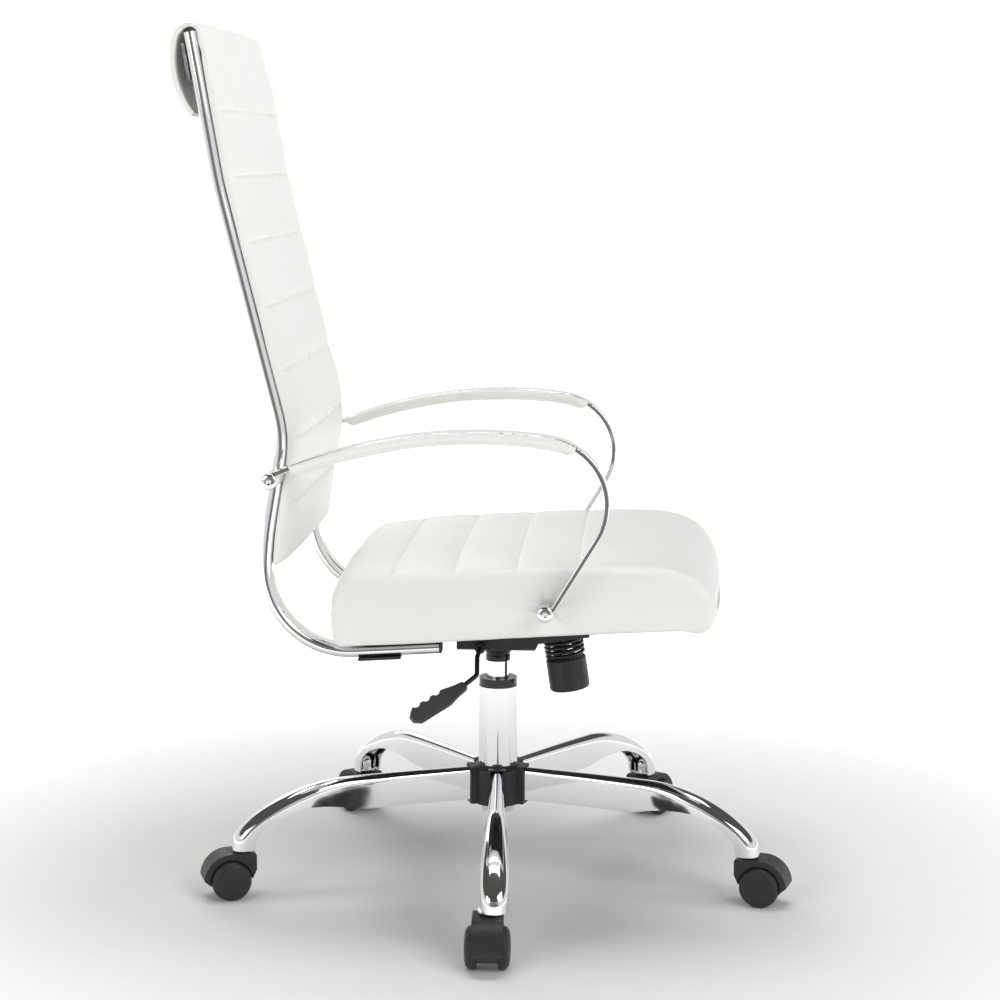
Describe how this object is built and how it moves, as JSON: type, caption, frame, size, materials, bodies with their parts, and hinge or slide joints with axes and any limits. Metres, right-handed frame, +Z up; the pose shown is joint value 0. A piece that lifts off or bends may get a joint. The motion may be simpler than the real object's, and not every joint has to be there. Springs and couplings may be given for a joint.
{
  "type": "swivel office chair",
  "caption": "High-back swivel office chair with ribbed white upholstery, chrome loop arms, gas lift, tilt mechanism and a five-leg chrome base on twin-wheel casters.",
  "frame": {"origin": "on the floor, under the axis of the gas column", "axes": "+Z up along the gas column; the chair faces -Y; +X is at the sitter's left"},
  "size_m": [0.7123, 0.741, 1.0715],
  "materials": {
    "white_leather": "smooth white synthetic leather, satin, stitched",
    "chrome": "bright chrome plate",
    "black_plastic": "black moulded nylon, fine satin texture",
    "gloss_black": "glossy black plastic",
    "black_steel": "black powder coat",
    "steel": "ground steel",
    "plywood": "birch plywood, clear",
    "grey_plastic": "dark grey moulded plastic"
  },
  "bodies": {
    "base": {"base_leg_1": "chrome", "base_leg_2": "chrome", "base_leg_3": "chrome", "base_leg_4": "chrome", "base_leg_5": "chrome", "caster_sockets": "chrome", "base_hub": "black_plastic", "hub_sleeve": "chrome", "column_tube": "chrome", "column_collar": "gloss_black"},
    "lift_rod": {"piston_rod": "steel", "thrust_bearing": "steel"},
    "carriage": {"gas_cylinder": "chrome", "mechanism_boss": "black_steel", "mechanism_housing": "black_steel", "tilt_pin": "steel", "tension_spring": "black_steel"},
    "release_button": {"release_button": "steel"},
    "lever_bush": {"lever_bush": "black_plastic"},
    "lever": {"lever_rod": "black_steel", "lever_paddle": "grey_plastic"},
    "tension_bolt": {"tension_bolt": "steel"},
    "tension_knob": {"tension_knob": "black_plastic"},
    "seat": {"tilt_plate": "black_steel", "seat_board": "plywood", "seat_cushion": "white_leather", "under_seat_bolts": "black_steel", "frame_brackets": "black_steel", "arm_brackets": "black_steel", "frame_plugs": "black_plastic", "back_crossbars": "steel", "back_cushion": "white_leather", "back_frame_left": "chrome", "back_frame_right": "chrome", "arm_left": "chrome", "arm_right": "chrome", "armpad_left": "white_leather", "armpad_right": "white_leather", "arm_bolts": "steel"},
    "caster_1": {"caster_1_hood": "black_plastic", "caster_1_pins": "steel"},
    "wheel_1_left": {"wheel_1_left": "black_plastic"},
    "wheel_1_right": {"wheel_1_right": "black_plastic"},
    "caster_2": {"caster_2_hood": "black_plastic", "caster_2_pins": "steel"},
    "wheel_2_left": {"wheel_2_left": "black_plastic"},
    "wheel_2_right": {"wheel_2_right": "black_plastic"},
    "caster_3": {"caster_3_hood": "black_plastic", "caster_3_pins": "steel"},
    "wheel_3_left": {"wheel_3_left": "black_plastic"},
    "wheel_3_right": {"wheel_3_right": "black_plastic"},
    "caster_4": {"caster_4_hood": "black_plastic", "caster_4_pins": "steel"},
    "wheel_4_left": {"wheel_4_left": "black_plastic"},
    "wheel_4_right": {"wheel_4_right": "black_plastic"},
    "caster_5": {"caster_5_hood": "black_plastic", "caster_5_pins": "steel"},
    "wheel_5_left": {"wheel_5_left": "black_plastic"},
    "wheel_5_right": {"wheel_5_right": "black_plastic"}
  },
  "joints": [
    {"name": "seat_swivel", "type": "hinge", "parent": "base", "child": "lift_rod", "pos_m": [0, 0, 0.104], "axis": [0, 0, 1], "continuous": true},
    {"name": "seat_height", "type": "slide", "parent": "lift_rod", "child": "carriage", "axis": [0, 0, 1], "range_m": [0, 0.1]},
    {"name": "seat_tilt", "type": "hinge", "parent": "carriage", "child": "seat", "pos_m": [0, -0.02, 0.322], "axis": [-1, 0, 0], "range_deg": [0, 12], "stiffness_Nm_per_rad": 150, "springref_deg": -17.19},
    {"name": "tension_bolt_slide", "type": "slide", "parent": "carriage", "child": "tension_bolt", "axis": [0, 0.1478, 0.989], "range_m": [0, 0.0125], "deforming": ["tension_spring"]},
    {"name": "tension_knob_turn", "type": "hinge", "parent": "tension_bolt", "child": "tension_knob", "pos_m": [0, -0.0925, 0.247], "axis": [0, 0.1478, 0.989], "range_deg": [0, 720]},
    {"name": "lever_lift", "type": "hinge", "parent": "carriage", "child": "lever_bush", "pos_m": [0, 0.018, 0.312], "axis": [1, 0, 0], "range_deg": [0, 7], "stiffness_Nm_per_rad": 0.5, "springref_deg": -11.46},
    {"name": "lever_pull", "type": "slide", "parent": "lever_bush", "child": "lever", "axis": [-1, 0, 0], "range_m": [0, 0.012]},
    {"name": "release_press", "type": "slide", "parent": "carriage", "child": "release_button", "axis": [0, 0, -1], "range_m": [0, 0.003]},
    {"name": "caster_swivel_1", "type": "hinge", "parent": "base", "child": "caster_1", "pos_m": [-0.33282, -0.01104, 0.06], "axis": [0, 0, 1], "continuous": true},
    {"name": "wheel_spin_1_left", "type": "hinge", "parent": "caster_1", "child": "wheel_1_left", "pos_m": [-0.34981, -0.0116, 0.025], "axis": [0.0332, -0.9995, 0], "continuous": true},
    {"name": "wheel_spin_1_right", "type": "hinge", "parent": "caster_1", "child": "wheel_1_right", "pos_m": [-0.34981, -0.0116, 0.025], "axis": [0.0332, -0.9995, 0], "continuous": true},
    {"name": "caster_swivel_2", "type": "hinge", "parent": "base", "child": "caster_2", "pos_m": [-0.11335, 0.31312, 0.06], "axis": [0, 0, 1], "continuous": true},
    {"name": "wheel_spin_2_left", "type": "hinge", "parent": "caster_2", "child": "wheel_2_left", "pos_m": [-0.11913, 0.3291, 0.025], "axis": [-0.9403, -0.3404, 0], "continuous": true},
    {"name": "wheel_spin_2_right", "type": "hinge", "parent": "caster_2", "child": "wheel_2_right", "pos_m": [-0.11913, 0.3291, 0.025], "axis": [-0.9403, -0.3404, 0], "continuous": true},
    {"name": "caster_swivel_3", "type": "hinge", "parent": "base", "child": "caster_3", "pos_m": [0.26277, 0.20456, 0.06], "axis": [0, 0, 1], "continuous": true},
    {"name": "wheel_spin_3_left", "type": "hinge", "parent": "caster_3", "child": "wheel_3_left", "pos_m": [0.27618, 0.215, 0.025], "axis": [-0.6143, 0.7891, 0], "continuous": true},
    {"name": "wheel_spin_3_right", "type": "hinge", "parent": "caster_3", "child": "wheel_3_right", "pos_m": [0.27618, 0.215, 0.025], "axis": [-0.6143, 0.7891, 0], "continuous": true},
    {"name": "caster_swivel_4", "type": "hinge", "parent": "base", "child": "caster_4", "pos_m": [0.27574, -0.18669, 0.06], "axis": [0, 0, 1], "continuous": true},
    {"name": "wheel_spin_4_left", "type": "hinge", "parent": "caster_4", "child": "wheel_4_left", "pos_m": [0.28982, -0.19622, 0.025], "axis": [0.5606, 0.8281, 0], "continuous": true},
    {"name": "wheel_spin_4_right", "type": "hinge", "parent": "caster_4", "child": "wheel_4_right", "pos_m": [0.28982, -0.19622, 0.025], "axis": [0.5606, 0.8281, 0], "continuous": true},
    {"name": "caster_swivel_5", "type": "hinge", "parent": "base", "child": "caster_5", "pos_m": [-0.09235, -0.31994, 0.06], "axis": [0, 0, 1], "continuous": true},
    {"name": "wheel_spin_5_left", "type": "hinge", "parent": "caster_5", "child": "wheel_5_left", "pos_m": [-0.09706, -0.33627, 0.025], "axis": [0.9608, -0.2773, 0], "continuous": true},
    {"name": "wheel_spin_5_right", "type": "hinge", "parent": "caster_5", "child": "wheel_5_right", "pos_m": [-0.09706, -0.33627, 0.025], "axis": [0.9608, -0.2773, 0], "continuous": true}
  ],
  "couplings": [
    {"joint": "tension_bolt_slide", "follows": "seat_tilt", "m_per_rad": 0.058},
    {"joint": "release_press", "follows": "lever_lift", "m_per_rad": 0.0225}
  ]
}
